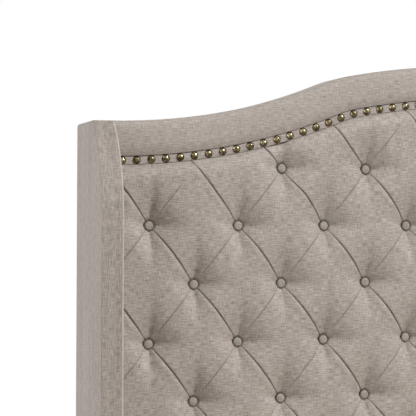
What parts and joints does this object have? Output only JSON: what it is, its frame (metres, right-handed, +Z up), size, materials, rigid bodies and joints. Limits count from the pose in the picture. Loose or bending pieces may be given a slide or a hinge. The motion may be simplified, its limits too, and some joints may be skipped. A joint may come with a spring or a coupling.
{
  "type": "wingback bed",
  "caption": "Upholstered wingback bed with a diamond tufted camelback headboard, nailhead trim, low footboard and slatted base.",
  "frame": {"origin": "on the floor, under the middle of the bed", "axes": "+Z up, +Y from the foot to the head, X across the bed, its plane of symmetry at X = 0"},
  "size_m": [1.676, 2.209, 1.5815],
  "materials": {
    "timber": "planed, unfinished",
    "plywood": "sanded plywood",
    "linen": "greige linen look weave",
    "antique_brass": "antique brass",
    "dust_cloth": "black non-woven cloth",
    "webbing": "woven webbing",
    "twine": "waxed twine",
    "zinc_steel": "zinc plated",
    "black_steel": "black powder coat",
    "dark_wood": "espresso stain, satin",
    "nylon": "moulded nylon"
  },
  "bodies": {
    "bed": {"base_studs": "timber", "border_board": "plywood", "border_pad": "linen", "bottom_rail": "timber", "bracket_screws": "zinc_steel", "button_ties": "twine", "centre_beam": "timber", "centre_leg_bolts": "zinc_steel", "foot_beam_hanger": "black_steel", "foot_centre_leg": "timber", "foot_rail_brackets": "black_steel", "footboard_core": "timber", "footboard_cover": "linen", "footboard_glides": "nylon", "footboard_leg_bolts": "zinc_steel", "hanger_screws": "zinc_steel", "head_beam_hanger": "black_steel", "head_centre_leg": "timber", "head_rail_brackets": "black_steel", "headboard_glides": "nylon", "headboard_panel": "plywood", "ledger_screws": "zinc_steel", "left_footboard_leg": "dark_wood", "left_headboard_post": "timber", "left_side_rail_board": "timber", "left_side_rail_cover": "linen", "left_slat_ledger": "timber", "left_wing_core": "timber", "left_wing_cover": "linen", "left_wing_welt": "linen", "leg_inserts": "zinc_steel", "lower_panel_pad": "linen", "lower_studs": "timber", "middle_centre_leg": "timber", "middle_rail": "timber", "nail_band": "linen", "nail_heads": "antique_brass", "rail_bolts": "zinc_steel", "rear_cover": "dust_cloth", "right_footboard_leg": "dark_wood", "right_headboard_post": "timber", "right_side_rail_board": "timber", "right_side_rail_cover": "linen", "right_slat_ledger": "timber", "right_wing_core": "timber", "right_wing_cover": "linen", "right_wing_welt": "linen", "seat_rail": "timber", "slat_screws": "zinc_steel", "slat_straps": "webbing", "slats": "timber", "top_rail": "timber", "tuft_buttons": "linen", "tufted_panel": "linen", "upper_studs": "timber", "wing_bolts": "zinc_steel", "wing_tee_nuts": "zinc_steel"},
    "head_leveller": {"head_leveller": "nylon"},
    "middle_leveller": {"middle_leveller": "nylon"},
    "foot_leveller": {"foot_leveller": "nylon"}
  },
  "joints": [
    {"name": "head_leveller_travel", "type": "slide", "parent": "bed", "child": "head_leveller", "axis": [0, 0, 1], "range_m": [0, 0.012]},
    {"name": "middle_leveller_travel", "type": "slide", "parent": "bed", "child": "middle_leveller", "axis": [0, 0, 1], "range_m": [0, 0.012]},
    {"name": "foot_leveller_travel", "type": "slide", "parent": "bed", "child": "foot_leveller", "axis": [0, 0, 1], "range_m": [0, 0.012]}
  ]
}
